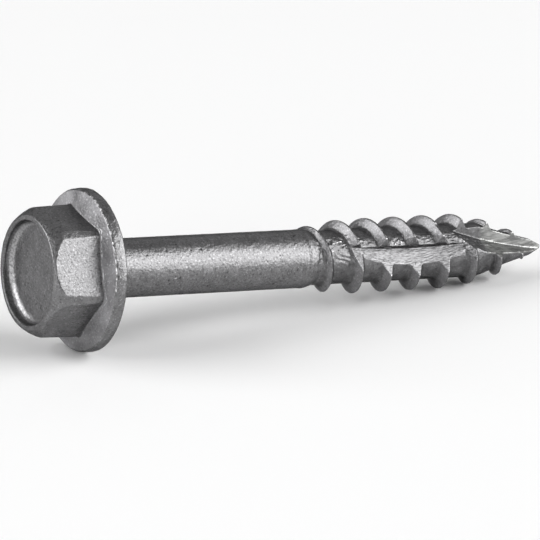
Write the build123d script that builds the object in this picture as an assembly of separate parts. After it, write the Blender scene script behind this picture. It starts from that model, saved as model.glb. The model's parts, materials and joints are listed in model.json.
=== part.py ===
"""Lag screw, forged in one piece: indented hex washer head, plain shank, coarse right-hand wood thread
with one long flute along it and one notch at the point. Millimetres, +Z up, lying as it rests on a table."""
from build123d import *
import math
import os

# ---------------------------------------------------------------- driving dimensions (mm, degrees)
ACROSS_FLATS = 12.45         # 1/2 in. hexagon, within its 12.29 to 12.70 limits
ACROSS_CORNERS = 13.76       # corners are blunt, not fully filled, most so near the top
CORNER_FOOT_D = 14.0         # across the corners where they meet the flange
HEX_TURN = 2.4               # direction of the facet on the near side
HEAD_HEIGHT = 7.33           # bearing face to the top of the hexagon, flange included
HEAD_FACE_D = 11.6           # round face left by the corner chamfer
HEAD_CHAMFER = 1.3           # axial run of the rounded corner chamfer
RECESS_D = 10.6              # shallow round indent in the top of the head
RECESS_DEPTH = 1.15
RECESS_FILLET = 1.0          # round between its wall and its floor
FLANGE_D = 17.4              # washer flange
FLANGE_EDGE_D = 17.0
FLANGE_RIM = 1.38            # thickness at the rim
RIM_LOW = 0.55               # the rim is widest this far above the bearing face
FLANGE_TOP = 1.7             # height of the flange where the hexagon stands on it
LENGTH = 57.15               # 2-1/4 in. under the head, to the point
SHANK_D = 6.35
SHANK_FILLET = 0.45
SHANK_END = 26.3             # plain shank ends here
ROOT_D = 5.9
CONE_START = 48.3            # the root cylinder turns into the cone here
CONE_SLOPE = 0.30
POINT_START = 52.2           # the cone turns slightly slimmer here
POINT_SLOPE = 0.25
NIB_LENGTH = 1.6             # blunt nib at the very point
THREAD_D = 8.15
PITCH = 3.70
FLANK = 30.0                 # each flank leans this much
CREST_FLAT = 0.16
THREAD_SINK = 0.15           # the foot of the ridge starts this far inside the root
THREAD_START = 25.2
THREAD_END = 56.1
PHASE_S = 28.75              # where the crest crosses the straight-down direction
STEPS = 24                   # points per turn
FLUTE_RADIUS = 30.0          # long flute: cut by a disc of this radius
FLUTE_CENTRE = 38.9
FLUTE_FLOOR = 2.08           # floor to screw axis at the deepest place
FLUTE_DIR = 20.5             # direction the floor faces, up from the near side
FLUTE_WALL = 0.21            # side wall to screw axis, below it
FLUTE_WIDE = 4.6
RIDGE_LEAN = 27.0            # the thread ends lean back from the flute by this much
NOTCH_RADIUS = 55.0          # point notch: V-edged disc
NOTCH_CENTRE = 63.5
NOTCH_DEPTH = -0.45          # deepest place of the V, along its direction, from the axis
NOTCH_DIR = 53.0
NOTCH_OFFSET = 0.28
NOTCH_WALL = 75.0            # direction of the upper face
NOTCH_FLOOR = -42.0          # direction of the lower face
ROLL = 16.2                  # how far the near side is turned up when the screw lies


# ---------------------------------------------------------------- small helpers
def direction(a):
    """Unit vector across the screw at angle a: 0 = near side (-Y), 90 = up (+Z)."""
    t = math.radians(a)
    return Vector(0, -math.cos(t), math.sin(t))


def radial(s, r, a):
    return Vector(s, 0, 0) + direction(a) * r


def turned(pts):
    """Solid of revolution about the screw axis from (length, radius) corners."""
    return revolve(make_face(Polyline(*pts, close=True)), axis=Axis.X, revolution_arc=360)


def core_radius(s):
    """Radius of the root cylinder, its cone and the nib."""
    nib = LENGTH - NIB_LENGTH
    if s <= CONE_START:
        return ROOT_D / 2
    r = ROOT_D / 2 - CONE_SLOPE * (min(s, POINT_START) - CONE_START)
    r -= POINT_SLOPE * max(0.0, min(s, nib) - POINT_START)
    if s > nib:
        r *= max(0.0, LENGTH + 0.45 - s) / (NIB_LENGTH + 0.45)
    return r


def crest_radius(s):
    """Crest: grows out of the shank, runs full, then falls in three steps towards the point."""
    grow = SHANK_D / 2 + 0.10 + 0.133 * (s - THREAD_START)
    start = ROOT_D / 2 + 0.9 * (s - THREAD_START)
    first = THREAD_D / 2 - 0.20 * (s - 45.6)
    second = 2.85 - 0.42 * (s - 51.1)
    third = 1.25 - 0.55 * (s - 54.8)
    return min(THREAD_D / 2, grow, start, first, second, third)


# ---------------------------------------------------------------- head, flange, shank and point
def make_blank():
    r = SHANK_D / 2
    f = SHANK_FILLET
    pts = [(-FLANGE_TOP - 0.6, 0), (-FLANGE_TOP - 0.6, 5.6)]
    pts += [(-FLANGE_TOP, ACROSS_CORNERS / 2), (-FLANGE_RIM, FLANGE_EDGE_D / 2)]
    pts += [(-FLANGE_RIM + 0.17, FLANGE_D / 2 - 0.07), (-RIM_LOW, FLANGE_D / 2), (-0.15, FLANGE_D / 2 - 0.02)]
    pts += [(0, FLANGE_D / 2 - 0.18), (0, r + f)]
    pts += [(f - f * math.sin(math.radians(a)), r + f - f * math.cos(math.radians(a))) for a in (60, 30)]
    pts += [(f, r), (SHANK_END - 0.9, r), (SHANK_END - 0.45, r + 0.05), (SHANK_END, r - 0.02)]
    pts += [(SHANK_END + 0.75, ROOT_D / 2)]
    pts += [(s, core_radius(s)) for s in (CONE_START, POINT_START, LENGTH - NIB_LENGTH, LENGTH - 0.12)]
    pts += [(LENGTH, 0.12), (LENGTH, 0)]
    return turned(pts)


def make_head():
    """Hexagonal prism met by the blunt corners and the chamfer, with the indent in its face."""
    corner = ACROSS_CORNERS / 2
    top = -HEAD_HEIGHT
    face = HEAD_FACE_D / 2
    run = corner - face
    dome = [(top, 0), (top, face), (top + 0.14 * HEAD_CHAMFER, face + 0.36 * run)]
    dome += [(top + 0.5 * HEAD_CHAMFER, face + 0.80 * run), (top + HEAD_CHAMFER, corner)]
    blunt = turned(dome + [(-FLANGE_TOP, CORNER_FOOT_D / 2), (-1.2, CORNER_FOOT_D / 2), (-1.2, 0)])
    plane = Plane(origin=(top - 1, 0, 0), x_dir=direction(HEX_TURN), z_dir=(1, 0, 0))
    hexagon = plane * RegularPolygon(ACROSS_FLATS / 2, 6, major_radius=False, rotation=30)
    prism = extrude(hexagon, amount=HEAD_HEIGHT + 1 - 1.2)
    floor = top + RECESS_DEPTH
    edge, bend = RECESS_D / 2, RECESS_FILLET
    indent = [(top - 1, 0), (top - 1, edge), (top, edge)]
    for a in (0, 22.5, 45, 67.5, 90):
        turn = math.radians(a)
        indent.append((floor - bend + bend * math.sin(turn), edge - 0.08 - bend + bend * math.cos(turn)))
    indent.append((floor + 0.03, 0))
    return (blunt & prism) - turned(indent)


# ---------------------------------------------------------------- thread
def thread_station(angle):
    """Four corners of the ridge at one angle past the straight-down direction."""
    s = PHASE_S + PITCH * angle / 360
    a = -90 - angle
    crest = crest_radius(s)
    lean = math.tan(math.radians(FLANK))
    foot = core_radius(s + 0.8) - THREAD_SINK
    foot = max(min(foot, crest - 0.05), 0.12)
    half = CREST_FLAT / 2
    wide = half + (crest - foot) * lean
    corners = [(s - wide, foot), (s - half, crest), (s + half, crest), (s + wide, foot)]
    return [radial(x, r, a) for x, r in corners]


def ridge(rows):
    """Closed solid over a run of stations: two flanks, crest, foot and two ends."""
    rails = [Edge.make_spline([row[j] for row in rows]) for j in range(4)]
    faces = [Face.make_surface_from_curves(rails[j], rails[(j + 1) % 4]) for j in range(4)]
    faces += [Face(Wire.make_polygon(row, close=True)) for row in (rows[0], rows[-1])]
    return Solid(Shell(faces))


def make_thread():
    """The tapering helical ridge, one solid per turn."""
    first = (THREAD_START - PHASE_S) / PITCH * 360
    last = (THREAD_END - PHASE_S) / PITCH * 360
    turns = math.ceil((last - first) / 360)
    step = (last - first) / turns / STEPS
    rows = [thread_station(first + step * i) for i in range(turns * STEPS + 1)]
    return [ridge(rows[n * STEPS:(n + 1) * STEPS + 1]) for n in range(turns)]


# ---------------------------------------------------------------- flute and notch cutters
def make_flute():
    """Flat-sided disc: its rim leaves the floor, its side leaves the wall."""
    side = direction(FLUTE_DIR - 90)
    centre = radial(FLUTE_CENTRE, FLUTE_FLOOR + FLUTE_RADIUS, FLUTE_DIR) + side * FLUTE_WALL
    plane = Plane(origin=centre, x_dir=(1, 0, 0), z_dir=side)
    return extrude(plane * Circle(FLUTE_RADIUS), amount=FLUTE_WIDE)


def make_ridge_trim():
    """Cone-sided disc: leans the thread ends back where the flute cuts them."""
    side = direction(FLUTE_DIR - 90)
    out = direction(FLUTE_DIR)
    lean = math.tan(math.radians(RIDGE_LEAN))
    above_floor = ROOT_D / 2 - FLUTE_FLOOR
    corner = radial(FLUTE_CENTRE, FLUTE_FLOOR, FLUTE_DIR) + side * (FLUTE_WALL + above_floor * lean)
    height = 6.0
    section = [corner, corner + out * height - side * height * lean, corner + out * height + side * 3.5]
    section.append(corner + side * 3.5)
    axis = Axis(radial(FLUTE_CENTRE, FLUTE_FLOOR + FLUTE_RADIUS, FLUTE_DIR), side)
    return revolve(Face(Wire.make_polygon(section, close=True)), axis=axis, revolution_arc=360)


def make_notch():
    """V-edged disc, its section turned about an axis across the screw."""
    side = direction(NOTCH_DIR - 90)
    apex = radial(NOTCH_CENTRE, NOTCH_DEPTH, NOTCH_DIR) + side * NOTCH_OFFSET
    centre = apex + direction(NOTCH_DIR) * NOTCH_RADIUS
    wall = apex + direction(NOTCH_WALL) * 9
    floor = apex + direction(NOTCH_FLOOR) * 9
    back = apex + direction((NOTCH_WALL + NOTCH_FLOOR) / 2) * 14
    section = Face(Wire.make_polygon([apex, wall, back, floor], close=True))
    return revolve(section, axis=Axis(centre, side), revolution_arc=360)


# ---------------------------------------------------------------- put together and laid down
def make_screw():
    body = make_blank() + make_head()
    trim = make_ridge_trim()
    for turn in make_thread():
        body = body + (turn - trim)
    body = body - make_flute()
    return body - make_notch()


def lay_down(shape):
    """Near side turned up, nose dropped until flange rim and thread crests touch the table."""
    shape = shape.rotate(Axis.X, -ROLL)
    low_s, low_r = PHASE_S + PITCH * (4 + ROLL / 360), THREAD_D / 2
    rim_s, rim_r = -RIM_LOW, FLANGE_D / 2
    tilt = math.degrees(math.asin((rim_r - low_r) / math.hypot(low_s - rim_s, rim_r - low_r)))
    shape = shape.rotate(Axis.Y, tilt)
    box = shape.bounding_box()
    return shape.translate((-(box.min.X + box.max.X) / 2, -(box.min.Y + box.max.Y) / 2, -box.min.Z))


screw = make_screw()
lag_screw = lay_down(screw)
lag_screw.label = "lag_screw"
os.makedirs("parts", exist_ok=True)
export_step(lag_screw, "parts/lag_screw.step")
print("volume", round(lag_screw.volume, 1), "solids", len(lag_screw.solids()))
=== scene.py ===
import json
import math

import bmesh
import bpy
import numpy as np
from mathutils import Matrix, Vector


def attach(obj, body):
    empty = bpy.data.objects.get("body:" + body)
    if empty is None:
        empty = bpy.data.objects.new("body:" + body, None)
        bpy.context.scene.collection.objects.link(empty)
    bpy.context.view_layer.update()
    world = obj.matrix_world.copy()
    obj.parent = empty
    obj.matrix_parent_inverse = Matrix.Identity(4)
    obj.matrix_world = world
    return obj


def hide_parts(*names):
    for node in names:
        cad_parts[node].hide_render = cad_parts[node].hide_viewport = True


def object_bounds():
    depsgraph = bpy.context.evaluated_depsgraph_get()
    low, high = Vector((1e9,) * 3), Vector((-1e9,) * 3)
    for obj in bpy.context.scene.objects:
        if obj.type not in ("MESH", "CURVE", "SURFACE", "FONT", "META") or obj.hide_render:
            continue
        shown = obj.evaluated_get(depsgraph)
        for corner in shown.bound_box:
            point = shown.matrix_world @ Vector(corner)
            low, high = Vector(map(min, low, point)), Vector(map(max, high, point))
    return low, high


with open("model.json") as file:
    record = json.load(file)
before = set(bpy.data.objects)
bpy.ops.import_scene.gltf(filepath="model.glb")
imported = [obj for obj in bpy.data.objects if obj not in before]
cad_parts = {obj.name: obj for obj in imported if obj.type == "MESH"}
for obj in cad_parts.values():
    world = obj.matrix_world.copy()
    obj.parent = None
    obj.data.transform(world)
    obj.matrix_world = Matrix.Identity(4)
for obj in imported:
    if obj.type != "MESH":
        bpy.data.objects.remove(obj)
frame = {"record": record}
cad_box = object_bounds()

# The screw is shaped in millimetres along its own axis: X from the bearing face to the point, and an
# angle round the axis that is 0 on the near side (-Y) and 90 at the top (+Z). It is laid down at the end.

# ---------------------------------------------------------------- sizes (mm, degrees)
# head
ACROSS_FLATS = 12.45
ACROSS_CORNERS = 13.76
CORNER_FOOT_D = 14.0
HEX_TURN = 2.4
HEAD_HEIGHT = 7.33
HEAD_FACE_D = 11.6
HEAD_CHAMFER = 1.3
HEAD_SUNK = 1.2              # from the bearing face back to the head's foot, inside the flange
RECESS_D = 11.2
RECESS_DEPTH = 1.15
RECESS_FILLET = 1.0

# flange
FLANGE_D = 17.4
FLANGE_EDGE_D = 17.0
FLANGE_RIM = 1.38
RIM_LOW = 0.55
FLANGE_TOP = 1.7
FLANGE_PROFILE = ((-FLANGE_TOP - 0.25, 0), (-FLANGE_TOP - 0.25, 5.6), (-FLANGE_RIM, FLANGE_EDGE_D / 2),
                  (-FLANGE_RIM + 0.17, FLANGE_D / 2 - 0.07), (-RIM_LOW, FLANGE_D / 2),
                  (-0.15, FLANGE_D / 2 - 0.02), (0, FLANGE_D / 2 - 0.18))

# shank, core and point
LENGTH = 57.15
SHANK_D = 6.35
SHANK_FILLET = 0.45
SHANK_END = 26.3
ROOT_D = 5.9
CONE_START = 48.3
CONE_SLOPE = 0.30
POINT_START = 52.2
POINT_SLOPE = 0.25
NIB_LENGTH = 1.6
NIB_BLUNT = 0.45             # the nib's cone would close this far past the end
TIP_R = 0.12

# thread
THREAD_D = 8.15
PITCH = 3.70
FLANK = 30.0
CREST_FLAT = 0.16
FOOT_FLARE = 0.16
FLARE_HEIGHT = 0.2
CREST_ROUND = 0.03
CREST_ROUND_HEIGHT = 0.1
THREAD_START = 25.2
THREAD_END = 56.1
PHASE_S = 28.75
# lines (place, radius there, slope) that hold the crest down where it starts and where it ends
CREST_LINES = ((THREAD_START, SHANK_D / 2 + 0.10, 0.133), (THREAD_START, ROOT_D / 2, 0.9),
               (45.6, THREAD_D / 2, -0.20), (51.1, 2.85, -0.42), (54.8, 1.25, -0.55))

# flute and notch, each cut by a disc
FLUTE_RADIUS = 30.0
FLUTE_CENTRE = 38.9
FLUTE_FLOOR = 2.08
FLUTE_DIR = 20.5
FLUTE_WALL = 0.21
FLUTE_WIDE = 4.6
FLUTE_REACH = 50
CUTTER_HIGH = 6
RIDGE_LEAN = 27.0
TRIM_WIDE = 3.5
NOTCH_RADIUS = 55.0
NOTCH_CENTRE = 63.5
NOTCH_DEPTH = -0.45
NOTCH_DIR = 53.0
NOTCH_OFFSET = 0.28
NOTCH_WALL = 75.0
NOTCH_FLOOR = -42.0
NOTCH_REACH = 24
NOTCH_SIDE, NOTCH_MIDDLE = 9, 14

# lying pose and mesh
ROLL = 16.2
MOUNT_UP = 6.0               # the bearing mount's point lies this far up from the screw axis
BOX_GAP = 1e-6               # metres that the surface keeps inside the model's box
THREAD_STEPS = 96            # in one turn of the thread
TURN_STEPS = 240             # round a turned piece
CUTTER_STEPS = 90            # along a cutter's sweep
VOXEL = 0.06
SOFTEN = 2
TRIANGLES = 196000

# ---------------------------------------------------------------- relief and wear (mm, degrees)
# stretches of the length: from, to, fade
FLUTE_SPAN = (29, 52, 1)
VALLEY_SPAN = (28.0, 50.5, 0.6)
COLLAR_SPAN = (26.6, 30.8, 0.7)
BURR_SPAN = (29, 50.5, 0.6)
RING_SPAN = (23.7, 25.4, 0.3)
THREAD_SPAN = (28, 52, 1)
ROOT_SPAN = (27.5, 52, 1)
FLANK_SPAN = (27.5, 55, 1)
HEX_FOOT_SPAN = (-2.0, -1.55, 0.1)
LOW_FLANGE_SPAN = (-2.0, -1.3, 0.1)
RIM_SPAN = (-1.3, -0.05, 0.1)
FLANGE_EDGE_SPAN = (-1.5, -1.15, 0.08)
FLANGE_FACE_SPAN = (-1.95, -1.36, 0.04)

# angles round the axis: from, to, fade
COLLAR_ROUND = (-22, 62, 14)
LOWER_ROUND = (-75, 0, 12)
LOW_FLANGE_ROUND = (-85, -25, 10)
HEX_FOOT_ROUND = (-30, 32, 10)
FLANGE_EDGE_ROUND = (-5, 70, 20)

# random lumps: height, size, seed
FORGED_LUMPS = ((0.004, 1.3, 1), (0.004, 0.55, 2), (0.0035, 0.3, 22))
EDGE_LUMPS = ((0.013, 0.4, 18), (0.006, 0.2, 35))
LOWER_LUMPS = ((0.018, 0.5, 16), (0.009, 0.22, 20))
FLANGE_LUMPS = ((0.020, 0.5, 24), (0.010, 0.22, 25))
RIM_LUMPS = ((0.018, 0.55, 26), (0.010, 0.22, 27))

WORN_BEND = (0.018, 0.046)   # how far a worn edge stands out of its surroundings
HOLLOW_BEND = (0.012, 0.05)
CHIP_DEPTH = 0.028
TORN_HEIGHT, TORN_SPREAD = 0.040, 0.020
COLLAR_HEIGHT = 0.042
SCRAPE_HEIGHT = 0.003
BURR_HEIGHT = 0.045
BEAD_HEIGHT = 0.022
GROOVE_HEIGHT = 0.004
EDGE_LINE_R = 8.56
RIM_R = 8.3                  # the rim's lumps lie further out than this
FLANGE_FACE_R = 6.1          # and the flange face with its pale coat, painted light, further out than this
DISH_HIGHLIGHT_R = (4.2, 5.9)      # the ring of painted highlight in the dish's round corner
PIT_DEPTH = 0.05
PIT_SIZES = (0.05, 0.12)
PIT_SEED = 41
# small pits: how many, and where along the length or out from the axis
SHANK_PITS, SHANK_PIT_S = 70, (1.5, 25)
RECESS_PITS, RECESS_PIT_R = 2, (0.5, 4.6)
FACET_PITS, FACET_PIT_BACK, FACET_PIT_R = 7, (2.6, 5.6), 6.3
FLANGE_PITS, FLANGE_PIT_S, FLANGE_PIT_R = 8, -1.35, (7.0, 8.5)


# ---------------------------------------------------------------- small helpers
def direction(angle):
    """Straight out from the screw axis at an angle round it."""
    t = math.radians(angle)
    return Vector((0, -math.cos(t), math.sin(t)))


def radial(s, r, angle):
    """The point at length s and radius r, at an angle round the axis."""
    return Vector((s, 0, 0)) + direction(angle) * r


def as_object(bm, name):
    """A finished bmesh as an object at the origin."""
    bmesh.ops.recalc_face_normals(bm, faces=bm.faces)
    mesh = bpy.data.meshes.new(name)
    bm.to_mesh(mesh)
    bm.free()
    obj = bpy.data.objects.new(name, mesh)
    bpy.context.scene.collection.objects.link(obj)
    return obj


def settle(obj):
    """Applies the object's modifiers."""
    bpy.context.view_layer.update()
    done = bpy.data.meshes.new_from_object(obj.evaluated_get(bpy.context.evaluated_depsgraph_get()))
    obj.modifiers.clear()
    obj.data = done
    return obj


def chain(bm, points):
    """A line of edges through the points."""
    verts = [bm.verts.new(p) for p in points]
    return verts, [bm.edges.new(pair) for pair in zip(verts, verts[1:])]


def turned(points):
    """Closed bmesh turned about the screw axis from (length, radius) corners that start and end on it."""
    bm = bmesh.new()
    verts, edges = chain(bm, [(s, 0, r) for s, r in points])
    bmesh.ops.spin(bm, geom=verts + edges, cent=(0, 0, 0), axis=(1, 0, 0), angle=math.tau,
                   steps=TURN_STEPS, use_merge=True)
    bmesh.ops.remove_doubles(bm, verts=bm.verts, dist=1e-5)
    return bm


def cut_flat(bm, point, normal):
    """Takes off what lies beyond a plane and closes the cut."""
    geom = list(bm.verts) + list(bm.edges) + list(bm.faces)
    cut = bmesh.ops.bisect_plane(bm, geom=geom, dist=1e-6, plane_co=point, plane_no=normal, clear_outer=True)
    rim = [e for e in cut["geom_cut"] if isinstance(e, bmesh.types.BMEdge)]
    bmesh.ops.contextual_create(bm, geom=rim)


# ---------------------------------------------------------------- blank and head
def core_radius(s):
    """Radius of the core between the ridges: straight, then two cones and the nib."""
    nib = LENGTH - NIB_LENGTH
    if s <= CONE_START:
        return ROOT_D / 2
    r = ROOT_D / 2 - CONE_SLOPE * (min(s, POINT_START) - CONE_START)
    r -= POINT_SLOPE * max(0.0, min(s, nib) - POINT_START)
    if s > nib:
        r *= max(0.0, LENGTH + NIB_BLUNT - s) / (NIB_LENGTH + NIB_BLUNT)
    return r


def crest_radius(s):
    """Radius of the crest: full in the middle, less where it starts and over the cones."""
    return min(THREAD_D / 2, *(r + slope * (s - place) for place, r, slope in CREST_LINES))


def make_blank():
    """Flange, shank, core and point, turned in one."""
    r, f = SHANK_D / 2, SHANK_FILLET
    points = list(FLANGE_PROFILE) + [(0, r + f)]
    points += [(f - f * math.sin(math.radians(a)), r + f - f * math.cos(math.radians(a)))
               for a in (75, 60, 45, 30, 15)]
    points += [(f, r), (SHANK_END - 0.9, r), (SHANK_END - 0.45, r + 0.05), (SHANK_END, r - 0.02)]
    points += [(SHANK_END + 0.75, ROOT_D / 2)]
    points += [(s, core_radius(s)) for s in (CONE_START, POINT_START, LENGTH - NIB_LENGTH, LENGTH - TIP_R)]
    points += [(LENGTH, TIP_R), (LENGTH, 0)]
    return as_object(turned(points), "blank")


def make_head():
    """Domed and dished disc with six flats cut on it."""
    corner, face, top = ACROSS_CORNERS / 2, HEAD_FACE_D / 2, -HEAD_HEIGHT
    run = corner - face
    floor, round_r = top + RECESS_DEPTH, RECESS_FILLET
    points = [(floor + 0.03, 0), (floor + 0.01, 3.0)]
    wall = RECESS_D / 2 - 0.08
    points += [(floor - round_r + round_r * math.cos(t), wall - round_r + round_r * math.sin(t))
               for t in (k * math.pi / 16 for k in range(9))]
    points += [(top + 0.12, RECESS_D / 2 - 0.05), (top, RECESS_D / 2 + 0.02), (top, RECESS_D / 2 + 0.10)]
    points += [(top + 0.03, face + 0.26 * run), (top + 0.35 * HEAD_CHAMFER, face + 0.57 * run)]
    points += [(top + 0.69 * HEAD_CHAMFER, face + 0.83 * run)]
    points += [(top + HEAD_CHAMFER, corner), (-FLANGE_TOP, CORNER_FOOT_D / 2)]
    points += [(-HEAD_SUNK, CORNER_FOOT_D / 2), (-HEAD_SUNK, 0)]
    bm = turned(points)
    for k in range(6):
        out = direction(HEX_TURN + 60 * k)
        cut_flat(bm, out * (ACROSS_FLATS / 2), out)
    return as_object(bm, "head")


# ---------------------------------------------------------------- thread
def ridge_section():
    """Half widths and heights of the full ridge, foot to crest: small flare, straight flank, round crest."""
    full = THREAD_D / 2 - ROOT_D / 2
    lean = math.tan(math.radians(FLANK))
    rows = []
    for h in (-0.15, 0.0, 0.05, 0.12, 0.2, 0.6, full - 0.1, full - 0.04, full - 0.01, full):
        wide = CREST_FLAT / 2 + (full - h) * lean
        wide += FOOT_FLARE * max(0.0, 1 - max(h, 0) / FLARE_HEIGHT) ** 2
        wide -= CREST_ROUND * max(0.0, (h - full + CREST_ROUND_HEIGHT) / CREST_ROUND_HEIGHT) ** 2
        rows.append((wide, h))
    return rows


def make_thread():
    """Ridge swept along its helix, then let down to the shank at one end and the point at the other."""
    first, last = THREAD_START - PHASE_S, THREAD_END - PHASE_S
    turns = (last - first) / PITCH
    rows = ridge_section()
    sides = [(-w, h) for w, h in rows] + [(w, h) for w, h in reversed(rows)]
    start = radial(0, 1, -90 - first / PITCH * 360)
    bm = bmesh.new()
    section = bm.faces.new([bm.verts.new(Vector((THREAD_START + w, 0, 0)) + start * (ROOT_D / 2 + h))
                            for w, h in sides])
    count = round(turns * THREAD_STEPS)
    bmesh.ops.spin(bm, geom=[section], cent=(0, 0, 0), axis=(1, 0, 0), angle=math.tau * turns, steps=count,
                   dvec=(PITCH * turns / count, 0, 0))
    full = THREAD_D / 2 - ROOT_D / 2
    for v in bm.verts:
        angle = math.degrees(math.atan2(v.co.z, -v.co.y))
        near = PHASE_S + PITCH * (-90 - angle) / 360
        s = near + PITCH * round((v.co.x - near) / PITCH)
        core, crest = core_radius(s + 0.8), crest_radius(s)
        height = (math.hypot(v.co.y, v.co.z) - ROOT_D / 2) / full
        share = max(0.02, (crest - core) / full)
        radius = core + max(height, 0) * max(crest - core, -0.3) + min(height, 0) * full
        v.co = radial(s + (v.co.x - s) * min(1.0, 0.35 + 0.65 * share), max(radius, 0.05), angle)
    return as_object(bm, "thread")


# ---------------------------------------------------------------- cutters
def disc_cutter(name, corners, centre, axis, reach):
    """Part of a disc: the section swept by an angle of reach to each side about its own axis."""
    bm = bmesh.new()
    section = bm.faces.new([bm.verts.new(p) for p in corners])
    back = Matrix.Rotation(-math.radians(reach), 3, axis)
    bmesh.ops.rotate(bm, verts=section.verts, cent=centre, matrix=back)
    bmesh.ops.spin(bm, geom=[section], cent=centre, axis=axis, angle=2 * math.radians(reach),
                   steps=CUTTER_STEPS)
    return as_object(bm, name)


def make_flute():
    """Disc whose rim cuts the flute's floor and whose side cuts its wall."""
    side, out = direction(FLUTE_DIR - 90), direction(FLUTE_DIR)
    corner = radial(FLUTE_CENTRE, FLUTE_FLOOR, FLUTE_DIR) + side * FLUTE_WALL
    corners = [corner, corner + out * CUTTER_HIGH, corner + out * CUTTER_HIGH + side * FLUTE_WIDE,
               corner + side * FLUTE_WIDE]
    return disc_cutter("flute_cutter", corners, corner + out * FLUTE_RADIUS, side, FLUTE_REACH)


def make_ridge_trim():
    """Leans the thread ends back where the flute cuts them."""
    side, out = direction(FLUTE_DIR - 90), direction(FLUTE_DIR)
    lean = math.tan(math.radians(RIDGE_LEAN))
    foot = FLUTE_WALL + (ROOT_D / 2 - FLUTE_FLOOR) * lean
    corner = radial(FLUTE_CENTRE, FLUTE_FLOOR, FLUTE_DIR) + side * foot
    corners = [corner, corner + (out - side * lean) * CUTTER_HIGH,
               corner + out * CUTTER_HIGH + side * TRIM_WIDE, corner + side * TRIM_WIDE]
    return disc_cutter("ridge_trim", corners, corner + out * FLUTE_RADIUS, side, FLUTE_REACH)


def make_notch():
    """Disc with a V edge, which cuts the notch at the point."""
    side, out = direction(NOTCH_DIR - 90), direction(NOTCH_DIR)
    apex = radial(NOTCH_CENTRE, NOTCH_DEPTH, NOTCH_DIR) + side * NOTCH_OFFSET
    corners = [apex, apex + direction(NOTCH_WALL) * NOTCH_SIDE,
               apex + direction((NOTCH_WALL + NOTCH_FLOOR) / 2) * NOTCH_MIDDLE,
               apex + direction(NOTCH_FLOOR) * NOTCH_SIDE]
    return disc_cutter("notch_cutter", corners, apex + out * NOTCH_RADIUS, side, NOTCH_REACH)


def cut_away(obj, *cutters):
    """Takes the cutters' shapes off the object."""
    for cutter in cutters:
        cut = obj.modifiers.new("cut", "BOOLEAN")
        cut.operation, cut.solver, cut.object = "DIFFERENCE", "EXACT", cutter
    return settle(obj)


# ---------------------------------------------------------------- surface shaping
def noise(points, size, seed):
    """Smooth random heights from -1 to 1, about one lump per size."""
    q = points / size + np.array([17.13, 5.71, 29.37]) * (seed + 1)
    cell = np.floor(q).astype(np.int64)
    part = q - cell
    part = part * part * (3 - 2 * part)
    total = np.zeros(len(points))
    for corner in range(8):
        step = np.array([corner & 1, corner >> 1 & 1, corner >> 2 & 1])
        c = cell + step
        h = (c[:, 0] * 73856093) ^ (c[:, 1] * 19349663) ^ (c[:, 2] * 83492791) ^ (seed * 2654435)
        h = (h ^ (h >> 13)) * 1274126177 & 0x7FFFFFFF
        weight = np.where(step, part, 1 - part).prod(axis=1)
        total += weight * (h / 0x3FFFFFFF - 1.0)
    return total


def ramp(x, low, high):
    """0 below low, 1 above high, smooth between."""
    t = np.clip((x - low) / (high - low), 0, 1)
    return t * t * (3 - 2 * t)


def neighbours_mean(values, edges, count):
    """Average of each point's neighbours along the edges."""
    total = np.zeros_like(values)
    for j in range(values.shape[1]):
        total[:, j] = np.bincount(edges[:, 0], values[edges[:, 1], j], len(values))
        total[:, j] += np.bincount(edges[:, 1], values[edges[:, 0], j], len(values))
    return total / count[:, None]


def stretched(s, angle, r, along, round_it):
    """Points for noise whose lumps are along mm long and round_it mm wide round the axis."""
    t = np.radians(angle)
    return np.stack([s / along, -np.cos(t) * r / round_it, np.sin(t) * r / round_it], axis=1)


def patch(x, low, high, edge):
    """1 between low and high, fading to 0 over edge."""
    return ramp(x, low - edge, low) * (1 - ramp(x, high, high + edge))


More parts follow.
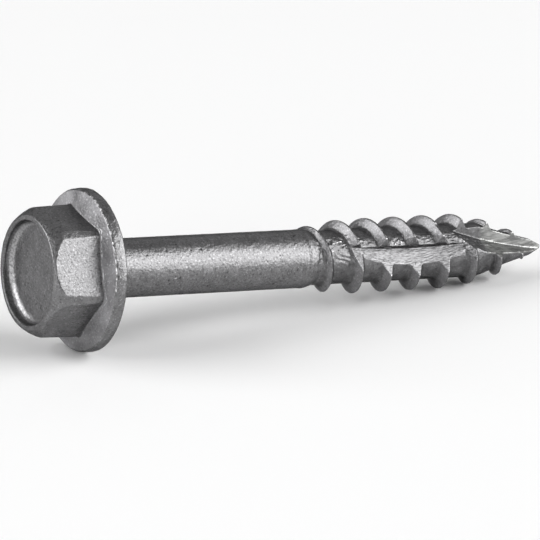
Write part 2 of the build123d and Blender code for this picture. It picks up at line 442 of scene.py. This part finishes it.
class Skin:
    """The screw's points, the place of each on the screw, and the parts of its surface that differ."""

    def __init__(self, mesh):
        total = len(mesh.vertices)
        co, out = np.empty(total * 3), np.empty(total * 3, np.float32)
        edges = np.empty(len(mesh.edges) * 2, np.int64)
        mesh.vertices.foreach_get("co", co)
        mesh.vertex_normals.foreach_get("vector", out)
        mesh.edges.foreach_get("vertices", edges)
        self.co, self.out = co.reshape(-1, 3), out.reshape(-1, 3).astype(float)
        self.bend = self.find_bend(edges.reshape(-1, 2))
        self.r = np.hypot(self.co[:, 1], self.co[:, 2])
        self.angle = np.degrees(np.arctan2(self.co[:, 2], -self.co[:, 1]))
        places = np.linspace(24, 58, 400)
        self.depth = self.r - np.interp(self.s, places, np.array([core_radius(x) for x in places]))
        self.find_flute()
        self.find_notch()
        in_valley = ramp(-self.depth, -0.28, -0.14) * self.span(*VALLEY_SPAN)
        beside = patch(self.angle, 12, 40 + 8 * noise(self.co, 1.5, 3), 7)
        self.torn = in_valley * beside * (1 - self.on_floor)
        self.collar = self.span(*COLLAR_SPAN) * self.sector(*COLLAR_ROUND) * (1 - self.on_floor)
        self.collar = self.collar * ramp(-self.depth, -0.55, -0.3)
        self.lower = self.sector(*LOWER_ROUND) * self.span(*THREAD_SPAN)

    @property
    def s(self):
        """Place along the length, where the relief has moved it too."""
        return self.co[:, 0]

    def span(self, low, high, fade):
        """1 over a stretch of the length, 0 outside it."""
        return patch(self.s, low, high, fade)

    def sector(self, low, high, fade):
        """1 over a range of angles round the axis, 0 outside it."""
        return patch(self.angle, low, high, fade)

    def lumps(self, rows):
        """Random lumps of several sizes, added up."""
        return sum(height * noise(self.co, size, seed) for height, size, seed in rows)

    def long_lumps(self, along, round_it, seed, shift=0.0):
        """Random lumps that are longer one way than the other."""
        return noise(stretched(self.s + shift, self.angle, self.r, along, round_it), 1.0, seed)

    def find_bend(self, edges):
        """How far each point stands out from those round it: more on an edge, less than 0 in a corner."""
        count = np.bincount(edges.ravel(), minlength=len(self.co))
        near = self.co
        for _ in range(6):
            near = neighbours_mean(near, edges, count)
        return ((self.co - near) * self.out).sum(axis=1)

    def find_flute(self):
        """The flute's floor, the height over it, and the side below the flute."""
        flute_out = np.array(direction(FLUTE_DIR))
        across = self.co @ np.array(direction(FLUTE_DIR - 90))
        high = self.co @ flute_out - FLUTE_FLOOR - FLUTE_RADIUS
        self.lift = FLUTE_RADIUS - np.hypot(self.s - FLUTE_CENTRE, high)
        self.below_flute = across > 0.5
        on_disc = ramp(-np.abs(self.lift), -0.12, -0.04) * ramp(across, -0.35, 0.35)
        facing = ramp(self.out @ flute_out, 0.9, 0.985) * (np.abs(self.lift) < 0.25)
        along = self.span(*FLUTE_SPAN)
        self.on_floor = np.maximum(on_disc * along, facing * along * (across > -0.3))

    def find_notch(self):
        """The two walls of the notch, and how far each point is from the line where they meet."""
        high = self.co @ np.array(direction(NOTCH_DIR)) - NOTCH_DEPTH - NOTCH_RADIUS
        deep = NOTCH_RADIUS - np.hypot(self.s - NOTCH_CENTRE, high)
        wide = self.co @ np.array(direction(NOTCH_DIR - 90)) - NOTCH_OFFSET
        self.in_notch = np.zeros(len(self.co))
        for wall in (NOTCH_WALL, NOTCH_FLOOR):
            t = math.radians(NOTCH_DIR - wall)
            gap = np.abs(deep * math.sin(t) - wide * math.cos(t))
            ahead = deep * math.cos(t) + wide * math.sin(t)
            self.in_notch = np.maximum(self.in_notch, ramp(-gap, -0.14, -0.05) * ramp(ahead, -0.2, 0.05))
        self.in_notch *= ramp(self.s, 48.2, 49.0)
        self.from_corner = np.hypot(deep, wide)


def torn_metal(skin):
    """Torn valleys beside the flute, the rough collar at the thread's start, and the flute's burr.

    The coat reads the dashes and the burr again, as painted glints.
    """
    warp = 0.22 * noise(skin.co, 0.9, 6)
    skin.dashes = skin.long_lumps(0.50, 0.20, 7, warp) + 0.6 * skin.long_lumps(0.26, 0.13, 8)
    skin.burr = np.exp(-(skin.lift / 0.11) ** 2 - (skin.depth / 0.13) ** 2) * skin.span(*BURR_SPAN)
    skin.burr = skin.burr * skin.below_flute
    loops = np.sin((skin.angle * 0.055 + 4.5 * noise(skin.co, 1.3, 9) + 1.5 * skin.s) * 2.2) * 0.5
    loops = loops + 0.6 * skin.long_lumps(0.24, 0.42, 10, warp)
    move = skin.torn * (TORN_HEIGHT + TORN_SPREAD * noise(skin.co, 0.8, 19)) * skin.dashes
    move += skin.collar * COLLAR_HEIGHT * loops
    ragged = np.maximum(0, noise(skin.co, 0.4, 29) + 0.4 * noise(skin.co, 0.18, 31))
    return move + skin.burr * BURR_HEIGHT * ragged


def cut_marks(skin):
    """Scrape lines on the flute's floor, rolling rings on the shank's end, and grooves in the notch."""
    streaks = skin.long_lumps(1.1, 0.14, 11) + 0.8 * skin.long_lumps(0.4, 0.12, 12)
    move = skin.on_floor * (SCRAPE_HEIGHT * streaks + SCRAPE_HEIGHT * noise(skin.co, 0.2, 13))
    rings = 0.006 * np.sin(skin.s * 16 + 2 * noise(skin.co, 1.6, 14))
    rings = rings + 0.004 * noise(skin.co / [0.16, 1, 1], 1.2, 15)
    move += skin.span(*RING_SPAN) * rings
    return move + skin.in_notch * GROOVE_HEIGHT * skin.long_lumps(4.0, 0.14, 17)


def head_marks(skin):
    """Bead at the hexagon's foot, and the uneven low flange and rim.

    The line on the flange's edge has no height: the coat paints it as a highlight line, brighter on the near
    and upper side.
    """
    to_flat = np.full(len(skin.co), -99.0)
    for k in range(6):
        to_flat = np.maximum(to_flat, skin.co @ np.array(direction(HEX_TURN + 60 * k)) - ACROSS_FLATS / 2)
    # The bead's brighter coat is a painted highlight line, stronger on the near side.
    skin.bead = np.exp(-((to_flat - 0.24) / 0.09) ** 2) * skin.span(*HEX_FOOT_SPAN)
    skin.bead = skin.bead * (0.7 + 0.5 * noise(skin.co, 0.7, 23))
    skin.bead *= 0.35 + 0.65 * skin.sector(*HEX_FOOT_ROUND)
    # A painted highlight line on the flange's edge, brighter on the near and upper side.
    skin.edge_line = np.exp(-((skin.r - EDGE_LINE_R) / 0.07) ** 2) * skin.span(*FLANGE_EDGE_SPAN)
    skin.edge_line = skin.edge_line * (0.45 + 0.6 * noise(skin.co, 0.5, 28))
    skin.edge_line *= 0.3 + 0.7 * skin.sector(*FLANGE_EDGE_ROUND)
    move = BEAD_HEIGHT * skin.bead
    move += skin.span(*LOW_FLANGE_SPAN) * skin.sector(*LOW_FLANGE_ROUND) * skin.lumps(FLANGE_LUMPS)
    return move + skin.span(*RIM_SPAN) * (skin.r > RIM_R) * skin.lumps(RIM_LUMPS)


def make_pits(skin):
    """1 in the middle of each small pit, 0 away from them."""
    rng = np.random.default_rng(PIT_SEED)
    spots = [radial(rng.uniform(*SHANK_PIT_S), SHANK_D / 2, rng.uniform(-180, 180))
             for _ in range(SHANK_PITS)]
    spots += [radial(-HEAD_HEIGHT + RECESS_DEPTH, rng.uniform(*RECESS_PIT_R), rng.uniform(-180, 180))
              for _ in range(RECESS_PITS)]
    spots += [radial(-rng.uniform(*FACET_PIT_BACK), FACET_PIT_R, rng.uniform(-180, 180))
              for _ in range(FACET_PITS)]
    spots += [radial(FLANGE_PIT_S, rng.uniform(*FLANGE_PIT_R), rng.uniform(-180, 180))
              for _ in range(FLANGE_PITS)]
    pits = np.zeros(len(skin.co))
    for spot in spots:
        size = rng.uniform(*PIT_SIZES)
        pits = np.maximum(pits, np.exp(-(((skin.co - np.array(spot)) ** 2).sum(axis=1)) / size ** 2))
    return pits


def raise_relief(skin):
    """Moves the points in and out for every kind of mark."""
    skin.worn = ramp(skin.bend, *WORN_BEND)
    skin.pits = make_pits(skin)
    blend = (skin.s < -1.9) * ramp(skin.bend, 0.003, 0.012)
    chips = np.maximum(0, noise(skin.co, 0.45, 4) + 0.3 * noise(skin.co, 0.2, 5))
    move = skin.lumps(FORGED_LUMPS) + blend * skin.lumps(EDGE_LUMPS) - skin.worn * CHIP_DEPTH * chips
    move += skin.lower * (1 - skin.on_floor) * skin.lumps(LOWER_LUMPS)
    move += torn_metal(skin) + cut_marks(skin) + head_marks(skin) - PIT_DEPTH * skin.pits
    skin.co += skin.out * move[:, None]


def coat_masks(skin):
    """Where the coat is rubbed or carries painted highlights, is painted darker as shade in hollows and
    valleys, scraped, cut, or pale and matt as painted light. Read once the relief is raised.
    """
    corner_wide = 0.13 + 0.03 * np.clip(skin.s - 50, 0, 6)
    corner = np.exp(-(skin.from_corner / corner_wide) ** 2) * ramp(skin.s, 49.5, 51.5)
    # Rubbed convex edges are partly real wear. The rest is painted highlight: lines on the hexagon's foot
    # bead and the flange's edge, glints on the torn dashes and the burr, and the notch's corner line.
    worn = np.maximum(skin.worn, np.clip(np.maximum(skin.bead, skin.edge_line), 0, 1))
    worn = np.maximum(worn, 0.45 * skin.torn * ramp(skin.dashes, 0.3, 0.9))
    worn = np.maximum(worn, 0.32 * skin.burr * ramp(noise(skin.co, 0.3, 30), -0.2, 0.7))
    worn = np.maximum(worn, 0.3 * corner * skin.in_notch)

    mottle = 0.5 * noise(skin.co, 0.9, 33) + 0.7 * noise(skin.co, 0.38, 34)
    # Darker in the valleys between the ridges, broken up at random: painted shade.
    root = ramp(-skin.depth, -0.35, -0.15) * skin.span(*ROOT_SPAN) * (1 - skin.on_floor) * (1 - skin.in_notch)
    root *= np.clip(0.6 + 0.8 * mottle, 0, 1)

    to_head = -skin.out[:, 0]
    # The flange face turned to the head gets a matt finish and a pale coat: the pale colour is painted light.
    flange_face = skin.span(*FLANGE_FACE_SPAN) * ramp(to_head, 0.8, 0.95) * (skin.r > FLANGE_FACE_R)
    flange_face *= 0.56 + 0.35 * noise(skin.co, 1.6, 21)
    # The thread flanks turned to the head are painted lighter too: painted light.
    flanks = ramp(to_head, 0.6, 0.8) * ramp(skin.depth, 0.15, 0.35) * skin.span(*FLANK_SPAN)

    # A lighter ring round the dish's corner, on the faces turned toward the head: a painted highlight.
    dish = -HEAD_HEIGHT + RECESS_DEPTH
    dish_highlight = skin.span(dish - 0.75, dish + 0.05, 0.1) * patch(to_head, 0.58, 0.84, 0.10)
    dish_highlight *= (skin.r > DISH_HIGHLIGHT_R[0]) * (skin.r < DISH_HIGHLIGHT_R[1])
    # The concave places are painted darker in the coat as painted shade.
    return {"worn": worn, "hollow": ramp(-skin.bend, *HOLLOW_BEND) * (1 - corner), "scraped": skin.on_floor,
            "cut": skin.in_notch, "root": root, "matt_painted_light": np.maximum(flange_face, 0.25 * flanks),
            "dish_highlight": dish_highlight, "pitted": skin.pits}


def shape_surface(obj):
    """Gives the smooth screw its relief, and the masks that its coat reads."""
    mesh = obj.data
    skin = Skin(mesh)
    raise_relief(skin)
    mesh.vertices.foreach_set("co", skin.co.ravel())
    for name, values in coat_masks(skin).items():
        mask = mesh.attributes.new(name, "FLOAT", "POINT")
        mask.data.foreach_set("value", values.astype(np.float32))
    mesh.update()


def lay_down(obj):
    """Turns the near side up, drops the nose and puts the screw where the model has it, in metres."""
    mount = next(m for m in frame["record"]["mounts"] if m["name"] == "bearing_face")
    axis = Vector(mount["axis"])
    up = Vector((-axis.z, 0, axis.x))
    tilt = math.atan2(-axis.z, axis.x)
    centre = Vector(mount["pos_m"]) - up * MOUNT_UP / 1000
    turn = Matrix.Rotation(tilt, 4, "Y") @ Matrix.Rotation(math.radians(-ROLL), 4, "X")
    obj.data.transform(Matrix.Translation(centre) @ turn @ Matrix.Scale(0.001, 4))
    co = np.empty(len(obj.data.vertices) * 3, np.float32)
    obj.data.vertices.foreach_get("co", co)
    co = np.clip(co.reshape(-1, 3), np.array(cad_box[0]) + BOX_GAP, np.array(cad_box[1]) - BOX_GAP)
    obj.data.vertices.foreach_set("co", co.ravel())
    obj.data.update()


def forge_screw():
    """Fuses blank, thread and head into one skin, shapes it, thins it and lays it down."""
    flute, trim, notch = make_flute(), make_ridge_trim(), make_notch()
    blank, thread, head = make_blank(), make_thread(), make_head()
    cut_away(blank, flute, notch)
    cut_away(thread, trim, flute, notch)
    bm = bmesh.new()
    for part in (blank, thread, head):
        bm.from_mesh(part.data)
    screw = as_object(bm, "lag_screw_forged")
    fuse = screw.modifiers.new("fuse", "REMESH")
    fuse.mode, fuse.voxel_size, fuse.adaptivity = "VOXEL", VOXEL, 0.0
    soft = screw.modifiers.new("soften", "SMOOTH")
    soft.factor, soft.iterations = 0.5, SOFTEN
    settle(screw)
    shape_surface(screw)
    thin = screw.modifiers.new("thin", "DECIMATE")
    thin.ratio = TRIANGLES / (2 * len(screw.data.polygons))
    settle(screw)
    lay_down(screw)
    screw.data.shade_smooth()
    for spare in (flute, trim, notch, blank, thread, head):
        bpy.data.objects.remove(spare)
    return screw


screw = forge_screw()


# ---------------------------------------------------------------- material
class Nodes:
    """Short calls for building one node tree.

    A pattern's scale is about the number of its lumps in a metre.
    """

    def __init__(self, tree):
        self.tree = tree

    def add(self, kind, values=None, **settings):
        """A new node, with its sockets and settings filled in."""
        node = self.tree.nodes.new(kind)
        for key, value in settings.items():
            setattr(node, key, value)
        for key, value in (values or {}).items():
            self.feed(node.inputs[key], value)
        return node

    def feed(self, socket, value):
        """Links a socket into another, or sets a plain value on it."""
        if isinstance(value, bpy.types.NodeSocket):
            self.tree.links.new(value, socket)
        else:
            socket.default_value = value

    def math(self, kind, a, b=0.0, clamp=False):
        return self.add("ShaderNodeMath", {0: a, 1: b}, operation=kind, use_clamp=clamp).outputs[0]

    def fit(self, value, low, high, to_low=0.0, to_high=1.0):
        """Smooth step between two values."""
        node = self.add("ShaderNodeMapRange", {"Value": value, "From Min": low, "From Max": high,
                                               "To Min": to_low, "To Max": to_high},
                        interpolation_type="SMOOTHSTEP")
        return node.outputs["Result"]

    def mix(self, factor, a, b):
        node = self.add("ShaderNodeMix", data_type="RGBA")
        for socket, value in zip((node.inputs["Factor"], node.inputs[6], node.inputs[7]), (factor, a, b)):
            self.feed(socket, value)
        return node.outputs[2]

    def noise(self, vector, scale, detail, rough):
        return self.add("ShaderNodeTexNoise", {"Vector": vector, "Scale": scale, "Detail": detail,
                                               "Roughness": rough}).outputs["Fac"]

    def mask(self, name):
        """One of the masks that shape_surface leaves on the mesh."""
        return self.add("ShaderNodeAttribute", attribute_name=name, attribute_type="GEOMETRY").outputs["Fac"]


def grey(value, cool=0.015):
    """A nearly neutral colour, a little cool."""
    return (value * (1 + 0.2 * cool), value * (1 - 0.2 * cool), value * (1 + cool), 1)


COAT, COAT_LIGHT = grey(0.168), grey(0.212)
FLAKE_LIGHT, FLAKE_DARK = grey(0.30), grey(0.105)
# pale matt coat on faces turned to the head: painted light
MATT_PAINTED_LIGHT, MATT_PAINTED_LIGHT_FLAKE = grey(0.44, 0.03), grey(0.80, 0.03)
# painted highlight in the dish's round corner
DISH_HIGHLIGHT = grey(0.42)
# painted shade in the thread's valleys
ROOT_SHADE = grey(0.075)
SCRAPED, SCRAPED_LIGHT = grey(0.11), grey(0.235)
CUT, CUT_LIGHT = grey(0.17, -0.02), grey(0.40, -0.02)
# rubbed edges, with painted highlight lines and glints
RUBBED_AND_HIGHLIGHT = grey(0.85)
# painted shade in concave places
HOLLOW_SHADE = grey(0.085)
PIT = grey(0.02)
EDGE_TINT = grey(0.2)
METAL, MATT_METAL_LOSS, RUBBED_METAL_LOSS = 0.82, 0.35, 0.3
ROUGH_LOW, ROUGH_HIGH = 0.30, 0.36
BUMP_HEIGHT = 0.000037       # metres


def zinc_coat():
    """Dull grey zinc flake coat over the forged skin, bright where it is rubbed or scraped, with painted
    highlights, painted light and painted shade.
    """
    mat = bpy.data.materials.new("zinc_coat")
    mat.use_nodes = True
    n = Nodes(mat.node_tree)
    bsdf = mat.node_tree.nodes["Principled BSDF"]
    where = n.add("ShaderNodeTexCoord").outputs["Object"]
    worn, hollow, scraped, cut, root, matt_painted_light, dish_highlight, pitted = [
        n.mask(k) for k in ("worn", "hollow", "scraped", "cut", "root", "matt_painted_light", "dish_highlight", "pitted")]

    # the plain coat and its flakes
    blotches = n.noise(where, 900, 3, 0.55)
    flakes = n.noise(where, 4600, 2, 0.6)
    colour = n.mix(n.fit(blotches, 0.3, 0.7), COAT, COAT_LIGHT)
    colour = n.mix(n.fit(flakes, 0.56, 0.70), colour, FLAKE_LIGHT)
    colour = n.mix(n.fit(flakes, 0.44, 0.32), colour, FLAKE_DARK)
    # pale matt coat on the flange face and the flanks turned to the head: painted light
    matt_painted_light_coat = n.mix(n.fit(flakes, 0.55, 0.72), MATT_PAINTED_LIGHT, MATT_PAINTED_LIGHT_FLAKE)
    colour = n.mix(n.math("MULTIPLY", matt_painted_light, 0.9), colour, matt_painted_light_coat)
    # lighter ring in the dish's round corner: painted highlight
    colour = n.mix(n.math("MULTIPLY", dish_highlight, n.fit(flakes, 0.35, 0.6, 0.35, 0.95)), colour, DISH_HIGHLIGHT)
    # darker in the valleys between the ridges: painted shade
    colour = n.mix(n.math("MULTIPLY", root, 0.6), colour, ROOT_SHADE)

    # scraped flute and cut notch, both dragged along the screw
    drag = n.add("ShaderNodeMapping", {"Vector": where, "Scale": (0.14, 1, 1)}).outputs["Vector"]
    drag_lines = n.noise(drag, 8500, 2, 0.6)
    colour = n.mix(scraped, colour, n.mix(n.fit(drag_lines, 0.35, 0.6), SCRAPED, SCRAPED_LIGHT))
    patches = n.fit(n.noise(drag, 2600, 3, 0.65), 0.36, 0.62)
    colour = n.mix(n.math("MULTIPLY", cut, 0.85), colour, n.mix(patches, CUT, CUT_LIGHT))

    # rubbed edges with painted highlight lines and glints, painted shade in the hollows, and pits
    dots = n.fit(n.noise(where, 3200, 2, 0.6), 0.40, 0.55)
    rubbed_and_highlight = n.math("MULTIPLY", n.fit(worn, 0.15, 0.6), dots)
    colour = n.mix(rubbed_and_highlight, colour, RUBBED_AND_HIGHLIGHT)
    # darker in the hollows, except in the ring of the dish: painted shade
    hollow_shade = n.math("MULTIPLY", n.math("SUBTRACT", hollow, dish_highlight, True), 0.5)
    colour = n.mix(pitted, n.mix(hollow_shade, colour, HOLLOW_SHADE), PIT)
    n.feed(bsdf.inputs["Base Color"], colour)

    metal = n.math("SUBTRACT", METAL, n.math("MULTIPLY", matt_painted_light, MATT_METAL_LOSS))
    metal = n.math("SUBTRACT", metal, n.math("MULTIPLY", rubbed_and_highlight, RUBBED_METAL_LOSS))
    n.feed(bsdf.inputs["Metallic"], metal)
    bsdf.inputs["Specular Tint"].default_value = EDGE_TINT

    rough = n.fit(blotches, 0.3, 0.7, ROUGH_LOW, ROUGH_HIGH)
    rough = n.math("SUBTRACT", rough, n.math("MULTIPLY", worn, 0.06))
    rough = n.math("ADD", rough, n.math("MULTIPLY", matt_painted_light, 0.2))
    n.feed(bsdf.inputs["Roughness"], n.math("ADD", rough, n.math("MULTIPLY", hollow, 0.2)))

    # grain, drawn out where the flute is scraped and weaker in the notch
    coarse = n.math("MULTIPLY", n.noise(where, 2400, 1, 0.5), 1.1)
    grain = n.math("ADD", n.noise(where, 4600, 2, 0.65), coarse)
    grain = n.mix(n.math("MULTIPLY", scraped, 0.75), grain, n.math("MULTIPLY", drag_lines, 1.3))
    calm = n.math("SUBTRACT", 1.0, n.math("MULTIPLY", cut, 0.2))
    bump = n.add("ShaderNodeBump", {"Height": n.math("MULTIPLY", grain, calm), "Strength": 1.0,
                                    "Distance": BUMP_HEIGHT})
    n.feed(bsdf.inputs["Normal"], bump.outputs["Normal"])
    return mat


screw.data.materials.clear()
screw.data.materials.append(zinc_coat())
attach(screw, "root")
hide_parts("lag_screw")


# ---------------------------------------------------------------- floor, light and camera
FLOOR_RADIUS = 6.0
FLOOR_TONE = 0.93
LAMP_DISTANCE = 2.0
# name, azimuth, elevation, size in metres, brightness
LAMPS = (("key_box", 48, 25, (2.1, 1.8), 4.7), ("left_box", -110, 28, (2.0, 1.3), 4.3),
         ("front_box", -52, 12, (0.6, 0.5), 5.0), ("back_box", 150, 32, (2.2, 0.9), 0.5))
ROOM_TONE = 0.2
CAMERA_AZIMUTH, CAMERA_ELEVATION = -30.1156, 16.9543
CAMERA_DISTANCE = 0.54
CAMERA_AIM = (-2.193, 0.169, -3.529)   # mm from the middle of the model's box
CAMERA_VIEW = 6.1830         # degrees
SENSOR = 36


def toward(azimuth, elevation):
    """Direction from the screw to a lamp or the camera: azimuth 0 is the near side, 90 the point side."""
    a, e = math.radians(azimuth), math.radians(elevation)
    return Vector((math.sin(a) * math.cos(e), -math.cos(a) * math.cos(e), math.sin(e)))


def make_floor():
    """Plain pale disc, far larger than the screw."""
    bm = bmesh.new()
    bmesh.ops.create_circle(bm, cap_ends=True, segments=96, radius=FLOOR_RADIUS)
    floor = as_object(bm, "floor")
    pale = bpy.data.materials.new("pale_floor")
    pale.use_nodes = True
    inputs = pale.node_tree.nodes["Principled BSDF"].inputs
    inputs["Base Color"].default_value = (FLOOR_TONE, FLOOR_TONE, FLOOR_TONE, 1)
    inputs["Roughness"].default_value = 0.9
    inputs["Specular IOR Level"].default_value = 0.0
    floor.data.materials.append(pale)


def softbox(name, azimuth, elevation, size, radiance):
    """Oblong area lamp aimed at the screw."""
    out = toward(azimuth, elevation)
    lamp = bpy.data.lights.new(name, "AREA")
    lamp.shape, lamp.size, lamp.size_y = "RECTANGLE", size[0], size[1]
    lamp.energy = radiance * math.pi * size[0] * size[1]
    obj = bpy.data.objects.new(name, lamp)
    obj.location = out * LAMP_DISTANCE
    obj.rotation_euler = out.to_track_quat("Z", "Y").to_euler()
    bpy.context.scene.collection.objects.link(obj)


def make_room():
    """Even dim light from all round."""
    world = bpy.data.worlds.new("room")
    bpy.context.scene.world = world
    world.use_nodes = True
    background = world.node_tree.nodes["Background"]
    background.inputs["Color"].default_value = (ROOM_TONE, ROOM_TONE, ROOM_TONE, 1)


def make_camera():
    """Long lens, looking down at the screw from the head side."""
    low, high = (Vector(corner) for corner in cad_box)
    out = toward(CAMERA_AZIMUTH, CAMERA_ELEVATION)
    camera = bpy.data.objects.new("camera", bpy.data.cameras.new("camera"))
    bpy.context.scene.collection.objects.link(camera)
    camera.location = (low + high) / 2 + Vector(CAMERA_AIM) / 1000 + out * CAMERA_DISTANCE
    camera.rotation_euler = (-out).to_track_quat("-Z", "Y").to_euler()
    camera.data.sensor_width = SENSOR
    camera.data.lens = SENSOR / 2 / math.tan(math.radians(CAMERA_VIEW / 2))
    bpy.context.scene.camera = camera


make_floor()
for lamp in LAMPS:
    softbox(*lamp)
make_room()
make_camera()
bpy.context.scene.view_settings.view_transform = "Standard"
